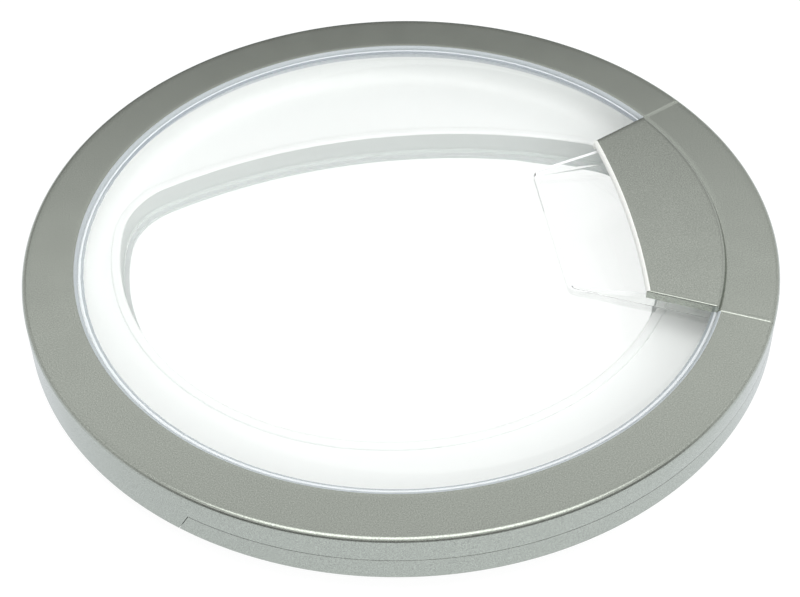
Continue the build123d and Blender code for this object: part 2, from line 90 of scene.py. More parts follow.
def carried_round(profile, angle):
    """A profile of (radius, height) carried round the ring's axis: x and y are the radius times
    the cosine and sine of the angle. Profiles and angles may differ from column to column."""
    radius, height = profile[..., 0], profile[..., 1]
    height = np.broadcast_to(height, np.broadcast(radius, angle).shape)
    return np.stack([radius * np.cos(angle), radius * np.sin(angle), height], -1)


def looped(points):
    """A row of points or profile that ends where it starts."""
    return np.concatenate([points, points[:1]])


def grid_faces(columns, rows, start):
    """Corner numbers of the four-sided faces of a grid of columns by rows points."""
    across, along = np.meshgrid(np.arange(columns - 1), np.arange(rows - 1), indexing="ij")
    low = start + across * rows + along
    return np.stack([low, low + rows, low + rows + 1, low + 1], -1).reshape(-1, 4)


def piece(name, materials, grids, node, crease=38.0):
    """One object from grids of points, each columns by rows by 3, with one material for each grid,
    or the last for those left over. Points that coincide are merged, which closes seams and poles,
    open ends are capped, faces are turned outwards, and edges over crease degrees stay crisp. The
    piece rides on its node's body and stands for the node."""
    counts = np.cumsum([0] + [g.shape[0] * g.shape[1] for g in grids])
    points = np.concatenate([g.reshape(-1, 3) for g in grids])
    patches = [grid_faces(g.shape[0], g.shape[1], n) for g, n in zip(grids, counts)]
    mesh = bpy.data.meshes.new(name)
    mesh.from_pydata(points, [], np.concatenate(patches))
    choice = [min(i, len(materials) - 1) for i in range(len(grids))]
    mesh.polygons.foreach_set("material_index", np.repeat(choice, [len(p) for p in patches]))
    for material in materials:
        mesh.materials.append(material)
    shell = bmesh.new()
    shell.from_mesh(mesh)
    bmesh.ops.remove_doubles(shell, verts=shell.verts, dist=0.002 * MM)
    bmesh.ops.dissolve_degenerate(shell, edges=shell.edges, dist=0.001 * MM)
    bmesh.ops.holes_fill(shell, edges=[e for e in shell.edges if e.is_boundary], sides=0)
    bmesh.ops.recalc_face_normals(shell, faces=shell.faces)
    shell.to_mesh(mesh)
    shell.free()
    mesh.shade_smooth()
    mesh.set_sharp_from_angle(angle=np.radians(crease))
    made = bpy.data.objects.new(name, mesh)
    bpy.context.scene.collection.objects.link(made)
    body = next(b for b, nodes in frame["record"]["behaviour"]["bodies"].items() if node in nodes)
    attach(made, body)
    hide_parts(node)
    return made


def finish(name, colour, shade, roughness, metallic=0.0, grain=900.0, lift=0.02, stretch=(1.0, 1.0, 1.0)):
    """A material whose colour wanders between two tones and whose surface is lifted by the same
    noise in the object's own space: grain is cells per metre, lift the height in millimetres."""
    material = bpy.data.materials.new(name)
    material.use_nodes = True
    nodes, links = material.node_tree.nodes, material.node_tree.links
    shader = nodes["Principled BSDF"]
    shader.inputs["Metallic"].default_value = metallic
    place = nodes.new("ShaderNodeTexCoord")
    turn = nodes.new("ShaderNodeMapping")
    turn.inputs["Scale"].default_value = stretch
    links.new(place.outputs["Object"], turn.inputs["Vector"])
    speck = nodes.new("ShaderNodeTexNoise")
    speck.inputs["Scale"].default_value = grain
    speck.inputs["Detail"].default_value = 3.0
    links.new(turn.outputs["Vector"], speck.inputs["Vector"])
    tones = nodes.new("ShaderNodeValToRGB")
    tones.color_ramp.elements[0].position = 0.3
    tones.color_ramp.elements[1].position = 0.7
    tones.color_ramp.elements[0].color = (*shade, 1.0)
    tones.color_ramp.elements[1].color = (*colour, 1.0)
    links.new(speck.outputs["Fac"], tones.inputs["Fac"])
    links.new(tones.outputs["Color"], shader.inputs["Base Color"])
    wear = nodes.new("ShaderNodeTexNoise")
    wear.inputs["Scale"].default_value = grain / 30.0
    wear.inputs["Detail"].default_value = 4.0
    links.new(turn.outputs["Vector"], wear.inputs["Vector"])
    gloss = nodes.new("ShaderNodeMapRange")
    gloss_spread = 0.04
    gloss.inputs["To Min"].default_value = roughness - gloss_spread
    gloss.inputs["To Max"].default_value = roughness + gloss_spread
    links.new(wear.outputs["Fac"], gloss.inputs["Value"])
    links.new(gloss.outputs["Result"], shader.inputs["Roughness"])
    bump = nodes.new("ShaderNodeBump")
    bump.inputs["Strength"].default_value = 0.5
    bump.inputs["Distance"].default_value = lift * MM
    links.new(speck.outputs["Fac"], bump.inputs["Height"])
    links.new(bump.outputs["Normal"], shader.inputs["Normal"])
    return material


silver_tone = (0.482, 0.513, 0.46)
silver_shade = (0.317, 0.338, 0.303)
silver_paint = finish("silver_paint", silver_tone, silver_shade, 0.22, metallic=0.8, grain=1300.0, lift=0.012)


def quarter_round(start, corner, end, count):
    """The round in place of a square corner: a quarter circle about the point across from it."""
    start, corner, end = np.array(start), np.array(corner), np.array(end)
    centre = start + end - corner
    turn = np.linspace(0.0, np.pi / 2, count)[:, None]
    return centre + np.cos(turn) * (start - centre) + np.sin(turn) * (end - centre)


def outer_edge(high, low):
    """The part of the face's round outer edge between two heights: with the height above the
    round's centre as the sine, the radius follows as the cosine."""
    turn = np.linspace(*np.arcsin((np.array([high, low]) - front_z) / face_round + 1.0), 14)
    centre = np.array([ring_radius - face_round, front_z - face_round])
    return centre + face_round * np.stack([np.cos(turn), np.sin(turn)], -1)


inner_edge = quarter_round(
    (ring_opening, front_z - inner_round), (ring_opening, front_z), (ring_opening + inner_round, front_z), 9
)
face_run = np.linspace(ring_opening + inner_round, ring_radius - face_round, 10)[1:-1]
flat_face = np.stack([face_run, np.full_like(face_run, front_z)], -1)
rear_edge = np.linspace((ring_radius, rear_z + rear_bevel), (ring_radius - rear_bevel, rear_z), 8)
seam_edge = quarter_round(
    (ring_radius, seam_z + seam_break), (ring_radius, seam_z), (ring_radius - seam_break, seam_z), 8
)


def ring_profile(low_edge):
    """The ring in section: lip, round inner edge, face, round outer edge, skirt and back."""
    outline = polyline(
        (ring_opening, lip_z),
        inner_edge,
        flat_face,
        outer_edge(front_z, front_z - face_round),
        low_edge,
        (ring_radius - skirt_wall, low_edge[-1, 1]),
        (ring_radius - skirt_wall, ring_back_z),
        (lip_outer, ring_back_z),
        (lip_outer, lip_z),
    )
    return looped(outline)


seat_edge = outer_edge(seat_z, front_z - face_round)
seat_run = np.linspace(ring_opening, seat_edge[0, 0], len(inner_edge) + len(flat_face))
seat_profile = polyline(
    (ring_opening, lip_z),
    np.stack([seat_run, np.full_like(seat_run, seat_z)], -1),
    seat_edge,
    seam_edge,
    (ring_radius - skirt_wall, seam_z),
    (ring_radius - skirt_wall, seat_back_z),
    (seat_inner, seat_back_z),
    (seat_inner, lip_z),
    (ring_opening, lip_z),
)


def broken_end(profile, columns):
    """One profile for every column, with the face let down by the joint's break at the first, where
    ring and grip meet, so that the joint shows as a fine bright line."""
    stack = np.repeat(profile[None], columns, axis=0)
    share = np.clip((profile[:, 1] - front_z) / face_round + 1.0, 0.0, 1.0)
    stack[0, :, 1] -= joint_break * share
    return stack


def sweep(start, end, columns):
    """Even angles from start to end, with one more column close to each end for its edge."""
    edge = joint_bevel / ring_radius
    inside = np.linspace(start + edge, end - edge, columns - 2)
    return np.concatenate([[start], inside, [end]])[:, None]


tab_start = np.pi - tab_half_angle
side_columns = 150
tab_columns = 150
open_profile = ring_profile(seam_edge)
tab_profile = ring_profile(rear_edge)
tab_share = np.clip((seam_z - tab_profile[:, 1]) / (seam_z - rear_z), 0.0, 1.0)
tab_angle = np.pi + np.linspace(-1.0, 1.0, tab_columns)[:, None] * (tab_half_angle - tab_taper * tab_share)
first_angle = sweep(grip_half_angle, tab_start, side_columns)
first_side = carried_round(broken_end(open_profile, side_columns), first_angle)
tab_side = carried_round(tab_profile, tab_angle)
last_angle = sweep(2 * np.pi - tab_start, 2 * np.pi - grip_half_angle, side_columns)
last_side = carried_round(open_profile, last_angle)
seat_side = carried_round(seat_profile, np.linspace(-grip_half_angle, grip_half_angle, 80)[:, None])
ring_grid = np.concatenate([first_side, tab_side, last_side, seat_side, first_side[:1]])
boss_turn = np.linspace(0.0, 2 * np.pi, 25)[:, None]


def post(x, y, bottom, top, outer, inner):
    """An upright round boss with a blind hole from below: a small turned profile moved to x, y."""
    hole_top = max(bottom, top - pilot_depth)
    hole = polyline((0.0, hole_top), (inner, hole_top), (inner, bottom))
    profile = polyline(hole, (outer, bottom), (outer, top), (0.0, top))
    return carried_round(profile, boss_turn) + np.array([x, y, 0.0])


def sleeve(x, y, bottom, top, outer, inner):
    """An upright round sleeve with a hole right through it, moved to x, y."""
    profile = looped(polyline((inner, bottom), (outer, bottom), (outer, top), (inner, top)))
    return carried_round(profile, boss_turn) + np.array([x, y, 0.0])


def rib(angle, inner, outer, width, bottom, top):
    """A thin upright rib along the radius at an angle: a box whose two open ends get capped."""
    way = np.array([np.cos(angle), np.sin(angle)])
    side = np.array([-way[1], way[0]]) * width / 2
    plan = looped(np.array([inner * way - side, outer * way - side, outer * way + side, inner * way + side]))
    rows = [np.column_stack([plan, np.full(len(plan), height)]) for height in (bottom, top)]
    return np.stack(rows, axis=1)


screw_angles = np.radians([45, 68, 90, 112, 135, 225, 248, 270, 292, 315])
screw_circle = ring_radius - 17.5 * MM
screw_places = screw_circle * np.stack([np.cos(screw_angles), np.sin(screw_angles)], -1)
hinge_screw_y = 34.0 * MM
hinge_screw_circle = ring_opening + 11.1 * MM
hinge_screw_x = -np.sqrt(hinge_screw_circle**2 - hinge_screw_y**2)
hinge_screw_places = np.array([[hinge_screw_x, hinge_screw_y], [hinge_screw_x, -hinge_screw_y]])
latch_screw_y = 15.0 * MM
latch_screw_places = np.array([[screw_circle, latch_screw_y], [screw_circle, -latch_screw_y]])
grip_boss_angles = np.radians([-18.0, 18.0])
grip_boss_places = screw_circle * np.stack([np.cos(grip_boss_angles), np.sin(grip_boss_angles)], -1)
boss_top = front_z - skirt_wall / 2
seat_boss_top = seat_z - skirt_wall / 2
deep_places = np.concatenate([screw_places, hinge_screw_places])
ring_bosses = [post(x, y, shelf_z, boss_top, boss_radius, boss_pilot) for x, y in deep_places]
ring_bosses += [post(x, y, shelf_z, seat_boss_top, boss_radius, boss_pilot) for x, y in latch_screw_places]
sleeve_foot = seat_back_z - sleeve_height
sleeves = [sleeve(x, y, sleeve_foot, seat_boss_top, sleeve_radius, sleeve_bore) for x, y in grip_boss_places]
rib_reach = ring_radius - skirt_wall / 2
rib_foot = boss_top - rib_depth
ring_ribs = [rib(a, screw_circle, rib_reach, rib_width, rib_foot, boss_top) for a in screw_angles]
# The inner edge is bare plastic. Its pale bluish tone is also a painted sheen, light painted where the edge
# would show dark.
bare_edge_and_sheen = finish("bare_edge_and_sheen", (0.47, 0.51, 0.53), (0.43, 0.47, 0.49), 0.35, grain=1200.0, lift=0.01)
bare_and_sheen_rows = 1 + len(inner_edge)
ring_grids = [ring_grid[:, :bare_and_sheen_rows], ring_grid[:, bare_and_sheen_rows - 1 :], *ring_bosses, *sleeves, *ring_ribs]
piece("front_ring", [bare_edge_and_sheen, silver_paint], ring_grids, "outer_ring")

# Grip: one silver-painted moulding of a stretch of ring face and a raised plate that reaches in over
# the finger pocket. Its nose and underside are bare, its thin side walls come down to the clear
# panel, and two screws hold it from behind.
grip_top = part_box("handle")[1][2]
grip_under = grip_top - 3.0 * MM
grip_side_round = 1.0 * MM
grip_nose_round = 2.4 * MM
grip_reach = ring_opening - 59.1 * MM
grip_edge_radius = 600.0 * MM
grip_edge_centre = grip_reach - grip_edge_radius
grip_outer = ring_opening + 0.6 * MM
grip_wall = 2.2 * MM
grip_skin_z = front_z - 2.6 * MM
grip_wall_foot = front_z - 2.7 * MM
grip_web_foot = front_z - 1.7 * MM
grip_boss_foot = seat_back_z - 5.7 * MM
grip_boss_top = front_z - 1.3 * MM
grip_boss_radius = 4.0 * MM
joint_gap = 0.25 * MM
edge_columns = 61
side_columns_grip = 31
side_way = np.array([np.cos(grip_half_angle), np.sin(grip_half_angle)])
side_inward = np.array([side_way[1], -side_way[0]])


def side_corner(inset, centre_x, radius):
    """Where the grip's upper side line, moved in by inset, crosses a circle about (centre_x, 0):
    the far root of the quadratic for the distance along the line."""
    start = inset * side_inward - np.array([centre_x, 0.0])
    along = -start @ side_way + np.sqrt((start @ side_way) ** 2 - start @ start + radius**2)
    return inset * side_inward + along * side_way


def grip_edges(inset_in, inset_out, inset_side):
    """The plate's inner and outer edge as two rows of plan points, from one side to the other:
    y runs evenly between the corners and x lies on the edge's circle."""
    inner_circle = grip_edge_radius + inset_in
    outer_circle = grip_outer - inset_out
    spread = np.linspace(-1.0, 1.0, edge_columns)
    inner_y = side_corner(inset_side, grip_edge_centre, inner_circle)[1] * spread
    outer_y = side_corner(inset_side, 0.0, outer_circle)[1] * spread
    inner_x = grip_edge_centre + np.sqrt(inner_circle**2 - inner_y**2)
    outer_x = np.sqrt(outer_circle**2 - outer_y**2)
    return np.stack([inner_x, inner_y], -1), np.stack([outer_x, outer_y], -1)


def grip_loop(inset_in, inset_out, inset_side, height):
    """The plate's outline as one closed loop at a height: inner edge, upper side, outer edge and
    lower side, with each corner twice, once for each edge that meets there."""
    inner, outer = grip_edges(inset_in, inset_out, inset_side)
    share = np.linspace(0.0, 1.0, side_columns_grip)[:, None]
    upper = inner[-1] + share * (outer[-1] - inner[-1])
    lower = outer[0] + share * (inner[0] - outer[0])
    plan = looped(np.concatenate([inner, upper, outer[::-1], lower]))
    return np.column_stack([plan, np.broadcast_to(height, len(plan))])


def grip_sheet(inset_in, inset_out, inset_side, height):
    """A flat sheet that fills such a loop: straight lines from the inner to the outer edge."""
    inner, outer = grip_edges(inset_in, inset_out, inset_side)
    share = np.linspace(0.0, 1.0, side_columns_grip)[:, None, None]
    plan = inner + share * (outer - inner)
    return np.concatenate([plan, np.full((*plan.shape[:2], 1), height)], -1)


edge_counts = [edge_columns, side_columns_grip, edge_columns, side_columns_grip, 1]
edge_feet = [grip_under, grip_wall_foot, grip_web_foot, grip_wall_foot, grip_under]
rim_feet = np.repeat(edge_feet, edge_counts)
fillet_turn = np.linspace(0.0, np.pi / 2, 7)
fillet_in = 1.0 - np.sin(fillet_turn)
fillet_drop = 1.0 - np.cos(fillet_turn)
edge_rounds = [grip_nose_round, grip_side_round, grip_nose_round, grip_side_round, grip_nose_round]
edge_rounds = np.repeat(edge_rounds, edge_counts)
nose_in, side_in = grip_nose_round * fillet_in, joint_gap + grip_side_round * fillet_in
edge_rows = [
    grip_loop(nose, nose, side, grip_top - edge_rounds * drop)
    for nose, side, drop in zip(nose_in, side_in, fillet_drop)
]
edge_rows.append(grip_loop(0.0, 0.0, joint_gap, rim_feet))
grip_rim = np.stack(edge_rows, axis=1)
grip_nose, grip_sides = grip_rim[: edge_columns + 1], grip_rim[edge_columns:]
grip_top_sheet = grip_sheet(grip_nose_round, grip_nose_round, joint_gap + grip_side_round, grip_top)
hollow_rows = [
    edge_rows[-1],
    grip_loop(0.0, grip_wall, joint_gap + grip_wall, rim_feet),
    grip_loop(0.0, grip_wall, joint_gap + grip_wall, grip_under),
]
grip_hollow = np.stack(hollow_rows, axis=1)
grip_under_sheet = grip_sheet(0.0, grip_wall, joint_gap + grip_wall, grip_under)
face_profile = looped(
    polyline((ring_opening, grip_skin_z), inner_edge, flat_face, outer_edge(front_z, grip_skin_z))
)
segment_half = grip_half_angle - joint_gap / ring_opening
segment_columns = 90
segment_angle = sweep(-segment_half, segment_half, segment_columns)
segment = carried_round(broken_end(face_profile, segment_columns), segment_angle)
grip_bosses = [
    post(x, y, grip_boss_foot, grip_boss_top, grip_boss_radius, boss_pilot) for x, y in grip_boss_places
]
bare_plastic = finish("bare_plastic", (0.87, 0.88, 0.85), (0.83, 0.84, 0.81), 0.5, grain=1200.0, lift=0.02)
grip_paints = [bare_plastic, silver_paint, silver_paint, silver_paint, bare_plastic]
grip_grids = [grip_nose, grip_sides, grip_top_sheet, segment, grip_hollow, grip_under_sheet, *grip_bosses]
piece("grip", grip_paints, grip_grids, "handle")

# Clear front panel: one polished plastic moulding, a flat disc with a bevelled raised rim, a
# flange that the ring clamps, and the finger pocket with its sloping floor moulded in.
panel_top = front_z - 3.0 * MM
panel_under = panel_top - 3.0 * MM
panel_radius = ring_opening + 6.0 * MM
rim_outer = ring_opening - 0.3 * MM
rim_inner = rim_outer - 3.4 * MM
rim_crest = rim_inner + 1.8 * MM
rim_top = panel_top + 1.0 * MM
rim_break = 0.4 * MM
pocket_outer = ring_opening - 5.7 * MM
pocket_chord = pocket_outer - 102.0 * MM
pocket_half_width = 57.0 * MM
pocket_flare = 0.30
pocket_corner = 4.0 * MM
pocket_wall = 2.4 * MM
pocket_shallow = 4.5 * MM
pocket_deep = 22.0 * MM
pocket_fillet = 2.0 * MM
pocket_lip = 1.2 * MM
pocket_middle = np.array([pocket_chord + 47.0 * MM, 0.0])


def corner_arc(corner, back, ahead, radius, count):
    """A round corner: the arc that touches the two edges that leave the corner along back and
    ahead. Its ends lie radius over the tangent of the half angle from the corner."""
    half = np.arccos(np.clip(back @ ahead, -1.0, 1.0)) / 2
    reach = radius / np.tan(half)
    centre = corner + (back + ahead) / np.linalg.norm(back + ahead) * radius / np.sin(half)
    turn = np.pi - 2 * half
    share = np.linspace(0.0, 1.0, count)[:, None]
    start, end = corner + reach * back - centre, corner + reach * ahead - centre
    return centre + (np.sin((1 - share) * turn) * start + np.sin(share * turn) * end) / np.sin(turn)


def pocket_loop(grow):
    """The pocket in plan, moved out by grow: straight inner edge, round corner, flared side and
    round outer edge for one half, and the same mirrored for the other."""
    near_x = pocket_chord - grow
    near_y = pocket_half_width + grow - pocket_flare * grow
    outer = pocket_outer + grow
    slope = pocket_flare
    foot = near_y - slope * near_x
    steep = 1 + slope**2
    far_x = (np.sqrt((slope * foot) ** 2 - steep * (foot**2 - outer**2)) - slope * foot) / steep
    far = np.array([far_x, foot + slope * far_x])
    side = np.array([1.0, slope]) / np.hypot(1.0, slope)
    bend = corner_arc(np.array([near_x, near_y]), np.array([0.0, -1.0]), side, pocket_corner + grow, 17)
    chord = np.column_stack([np.full(24, near_x), np.linspace(0.0, bend[0, 1], 25)[:-1]])
    edge = bend[-1] + np.linspace(0.0, 1.0, 40)[1:-1, None] * (far - bend[-1])
    angle = np.linspace(np.arctan2(far[1], far[0]), 0.0, 50)
    arc = outer * np.stack([np.cos(angle), np.sin(angle)], -1)
    upper = np.concatenate([chord, bend, edge, arc])
    return np.concatenate([upper, upper[-2:0:-1] * [1.0, -1.0], upper[:1]])


def floor_height(x):
    """The pocket floor falls evenly from the inner edge to the outer edge."""
    share = (x - pocket_chord) / (pocket_outer - pocket_chord)
    return panel_top - pocket_shallow - share * (pocket_deep - pocket_shallow)


pocket_rays = pocket_loop(0.0) - pocket_middle
pocket_rays = pocket_rays / np.linalg.norm(pocket_rays, axis=1)[:, None]


def panel_circle(radius, height):
    """A circle about the ring's axis at a height, met by the rays from the pocket's middle."""
    ahead = pocket_rays @ pocket_middle
    reach = -ahead + np.sqrt(ahead**2 - pocket_middle @ pocket_middle + radius**2)
    plan = pocket_middle + reach[:, None] * pocket_rays
    return np.column_stack([plan, np.full(len(plan), height)])


def pocket_row(grow, rise=None, level=None):
    """The pocket's outline at a rise above the sloping floor, or at one level."""
    plan = pocket_loop(grow)
    height = floor_height(plan[:, 0]) + rise if level is None else np.full(len(plan), level)
    return np.column_stack([plan, height])


def pole(rise):
    """The pocket's middle, once for each ray, at a rise above the floor."""
    return np.tile([*pocket_middle, floor_height(pocket_middle[0]) + rise], (len(pocket_rays), 1))


def between(row_a, row_b, count):
    """Rows spaced evenly from one row to another, without the two themselves."""
    share = np.linspace(0.0, 1.0, count + 2)[1:-1, None, None]
    return list(row_a + share * (row_b - row_a))


quarter = np.linspace(0.0, np.pi / 2, 6)
floor_rows = [pocket_row(-pocket_fillet * (1 - np.sin(a)), pocket_fillet * (1 - np.cos(a))) for a in quarter]
lip_rows = [
    pocket_row(pocket_lip * (1 - np.cos(a)), level=panel_top - pocket_lip * (1 - np.sin(a))) for a in quarter
]
bevel_rows = [panel_circle(rim_inner, panel_top), panel_circle(rim_crest, rim_top)]
crest_rows = [
    bevel_rows[-1],
    panel_circle(rim_outer - rim_break, rim_top),
    panel_circle(rim_outer, rim_top - rim_break),
    panel_circle(rim_outer, lip_z),
]
flange_rows = [crest_rows[-1], panel_circle(panel_radius, lip_z), panel_circle(panel_radius, panel_under)]
under_rows = [pocket_row(pocket_wall, level=panel_under), pocket_row(pocket_wall, -pocket_wall)]
pocket_rows = [pole(0.0), *between(pole(0.0), floor_rows[0], 6), *floor_rows, lip_rows[0]]
face_rows = [lip_rows[-1], *between(lip_rows[-1], bevel_rows[0], 8), bevel_rows[0]]
back_rows = [*flange_rows, *between(flange_rows[-1], under_rows[0], 8)]
back_rows += [*under_rows, *between(under_rows[-1], pole(-pocket_wall), 4), pole(-pocket_wall)]


def clear_finish(name, tint, index, clear_share=1.0, roughness=0.0):
    """A clear moulding: light passes through with a faint tint, under a glossy skin, and a slow
    noise in the object's own space makes the surface very slightly uneven, as moulded plastic and
    drawn panes are. With a clear share below one, the tint shows as colour: a painted highlight, sheen or
    shade on an edge."""
    material = bpy.data.materials.new(name)
    material.use_nodes = True
    nodes, links = material.node_tree.nodes, material.node_tree.links
    shader = nodes["Principled BSDF"]
    shader.inputs["Transmission Weight"].default_value = clear_share
    shader.inputs["Coat Weight"].default_value = 0.6
    shader.inputs["Coat Roughness"].default_value = 0.02
    shader.inputs["Base Color"].default_value = (*tint, 1.0)
    shader.inputs["Roughness"].default_value = roughness
    shader.inputs["IOR"].default_value = index
    place = nodes.new("ShaderNodeTexCoord")
    waves = nodes.new("ShaderNodeTexNoise")
    waves.inputs["Scale"].default_value = 18.0
    links.new(place.outputs["Object"], waves.inputs["Vector"])
    bump = nodes.new("ShaderNodeBump")
    bump.inputs["Strength"].default_value = 0.2
    bump.inputs["Distance"].default_value = 0.2 * MM
    links.new(waves.outputs["Fac"], bump.inputs["Height"])
    links.new(bump.outputs["Normal"], shader.inputs["Normal"])
    return material


def lets_light_through(clear_piece):
    """Lamps and soft light reach what lies behind a clear piece as they do through the real one."""
    clear_piece.visible_shadow = False
    clear_piece.visible_diffuse = False


clear_index = 1.12
edge_gloss = 0.12
clear_panel = clear_finish("clear_panel", (0.99, 0.995, 0.99), clear_index)
# The rim's crest is a pale, half clear bluish grey: a painted sheen of reflected light along the rim.
crest_painted_sheen = clear_finish("crest_painted_sheen", (0.84, 0.88, 0.91), clear_index, 0.4, edge_gloss)
# The pocket's lip is an almost opaque white: a painted highlight along the pocket's edge.
lip_painted_highlight = clear_finish("lip_painted_highlight", (0.96, 0.97, 0.98), clear_index, 0.15, edge_gloss)
# The bevel is a darker, less clear bluish grey: painted shade along the rim's bevel.
bevel_painted_shade = clear_finish("bevel_painted_shade", (0.44, 0.485, 0.515), clear_index, 0.6, edge_gloss)
panel_bands = [pocket_rows, lip_rows, face_rows, bevel_rows, crest_rows, back_rows]
panel_grids = [np.stack(rows, axis=1) for rows in panel_bands]
panel_finishes = [clear_panel, lip_painted_highlight, clear_panel, bevel_painted_shade, crest_painted_sheen, clear_panel]
panel = piece("front_panel", panel_finishes, panel_grids, "window_panel", crease=40.0)
lets_light_through(panel)

# Foam ring under the front panel's flange: a plain strip of pale closed-cell foam, squeezed
# between the panel and the inner frame's upstand.
upstand_outer = panel_radius - 1.0 * MM
upstand_inner = upstand_outer - 2.5 * MM
upstand_top = panel_under - 4.5 * MM
full_turn = np.linspace(0.0, 2 * np.pi, 361)[:, None]
pale_foam = finish("pale_foam", (0.62, 0.65, 0.68), (0.52, 0.55, 0.58), 0.9, grain=700.0, lift=0.25)
foam_profile = polyline(
    (upstand_inner, upstand_top),
    (upstand_outer, upstand_top),
    (upstand_outer, panel_under),
    (upstand_inner, panel_under),
)
piece("foam_ring", [pale_foam], [carried_round(looped(foam_profile), full_turn)], "panel_seal")

# Inner frame: one white plastic moulding, a flat shelf round a flat-sided opening and an upstand
# that carries the front panel. The ten screws clamp it between the two silver rings.
shelf_under = shelf_z - 2.3 * MM
shelf_radius = ring_radius - 4.0 * MM
shelf_cove = 12.0 * MM
opening_radius = ring_opening - 24.7 * MM
opening_centre = np.array([0.0, 37.0 * MM])
flat_reach = ring_opening - 68.7 * MM
flat_radius = 380.0 * MM
opening_corner = 55.0 * MM
collar_wall = 2.5 * MM
fit_gap = 0.3 * MM
flat_centre = np.array([0.0, flat_reach - flat_radius])


def opening_loop(grow):
    """The flat-sided opening, moved out by grow, as four arcs that touch: the round side, a corner,
    the flatter far side and the other corner. A corner's centre is where the two circles drawn
    in by the corner's radius cross."""
    round_in, flat_in = opening_radius - opening_corner, flat_radius - opening_corner
    apart = opening_centre[1] - flat_centre[1]
    corner_y = opening_centre[1] + (flat_in**2 - round_in**2 - apart**2) / (2 * apart)
    corner = np.array([np.sqrt(round_in**2 - (corner_y - opening_centre[1]) ** 2), corner_y])
    side = np.arctan2(*(corner - opening_centre)[::-1])
    far = np.arctan2(*(corner - flat_centre)[::-1])
    arcs = [
        (opening_centre, opening_radius, -np.pi - side, side, 220),
        (corner, opening_corner, side, far, 50),
        (flat_centre, flat_radius, far, np.pi - far, 90),
        (corner * [-1.0, 1.0], opening_corner, np.pi - far, np.pi - side, 50),
    ]
    plan = []
    for centre, radius, start, end, count in arcs:
        angle = np.linspace(start, end, count)[:-1]
        plan.append(centre + (radius + grow) * np.stack([np.cos(angle), np.sin(angle)], -1))
    return looped(np.concatenate(plan))


opening_ways = opening_loop(0.0) / np.linalg.norm(opening_loop(0.0), axis=1)[:, None]


def opening_row(grow, height):
    """The opening's outline, moved out by grow, at a height."""
    plan = opening_loop(grow)
    return np.column_stack([plan, np.full(len(plan), height)])


def shelf_circle(radius, height):
    """A circle about the ring's axis whose points lie straight out from the opening's points."""
    return np.column_stack([radius * opening_ways, np.full(len(opening_ways), height)])


cove_turn = np.linspace(0.0, np.pi / 2, 16)
shelf_hole = collar_wall + fit_gap
shelf_rows = [opening_row(shelf_hole, shelf_under), opening_row(shelf_hole, shelf_z)]
fillet_rows = [
    shelf_circle(upstand_inner - shelf_cove * (1 - np.sin(a)), shelf_z + shelf_cove * (1 - np.cos(a)))
    for a in cove_turn
]
shelf_rows += [*between(shelf_rows[-1], fillet_rows[0], 6), *fillet_rows]
shelf_rows += [
    shelf_circle(upstand_inner, upstand_top),
    shelf_circle(upstand_outer, upstand_top),
    shelf_circle(upstand_outer, shelf_z),
    shelf_circle(shelf_radius, shelf_z),
    shelf_circle(shelf_radius, shelf_under),
]
shelf_rows += between(shelf_rows[-1], shelf_rows[0], 6)
white_tone = (0.84, 0.86, 0.85)
white_shade = (0.80, 0.82, 0.81)
white_plastic = finish("white_plastic", white_tone, white_shade, 0.45, grain=1400.0, lift=0.02)
shelf_grid = np.stack([*shelf_rows, shelf_rows[0]], axis=1)
rib_pitch = 10.0
rib_angles = np.radians(np.arange(rib_pitch / 2, 360.0, rib_pitch))
rib_middles = screw_circle * np.stack([np.cos(rib_angles), np.sin(rib_angles)], -1)
every_screw = np.concatenate([deep_places, latch_screw_places])
screw_distance = np.linalg.norm(rib_middles[:, None] - every_screw, axis=-1).min(axis=1)
clear_angles = rib_angles[screw_distance > 2 * boss_radius]
frame_rib_height = 6.0 * MM
shelf_rib_foot = shelf_z - fit_gap
shelf_rib_head = shelf_rib_foot + frame_rib_height
rib_start = (upstand_inner + upstand_outer) / 2
frame_ribs = [
    rib(a, rib_start, shelf_radius, rib_width, shelf_rib_foot, shelf_rib_head) for a in clear_angles
]
piece("inner_frame_moulding", [white_plastic], [shelf_grid, *frame_ribs], "inner_frame")

# Collar: a white plastic moulding that hangs in the shelf's opening on a rounded lip and reaches
# back into the drum's mouth. A ledge at its foot carries the pane.
lip_reach = collar_wall + 4.0 * MM
lip_top = shelf_z + 1.6 * MM
lip_round = 1.36 * MM
pane_ledge = 4.0 * MM
ledge_top = 1.6 * MM
lip_corner_in = [
    opening_row(lip_round * (1 - np.sin(a)), lip_top - lip_round * (1 - np.cos(a))) for a in quarter[::-1]
]
lip_corner_out = [
    opening_row(lip_reach - lip_round * (1 - np.sin(a)), lip_top - lip_round * (1 - np.cos(a)))
    for a in quarter
]
wall_rows = [opening_row(-pane_ledge, 0.0), opening_row(-pane_ledge, ledge_top), opening_row(0.0, ledge_top)]
wall_rows += between(wall_rows[-1], lip_corner_in[0], 4) + [lip_corner_in[0]]
lip_crown = [*lip_corner_in, *lip_corner_out, opening_row(lip_reach, shelf_z)]
lip_crown += [opening_row(collar_wall, shelf_z), opening_row(collar_wall, 0.0), opening_row(-pane_ledge, 0.0)]
# The collar's wall is a darker grey-green than its white lip: painted shade on the wall seen down the
# opening.
collar_tone, collar_shade = (0.61, 0.645, 0.63), (0.575, 0.61, 0.595)
collar_wall_painted_shade = finish("collar_wall_painted_shade", collar_tone, collar_shade, 0.4, grain=1400.0, lift=0.02)
collar_grids = [np.stack(wall_rows, axis=1), np.stack(lip_crown, axis=1)]
piece("collar_moulding", [collar_wall_painted_shade, white_plastic], collar_grids, "collar")

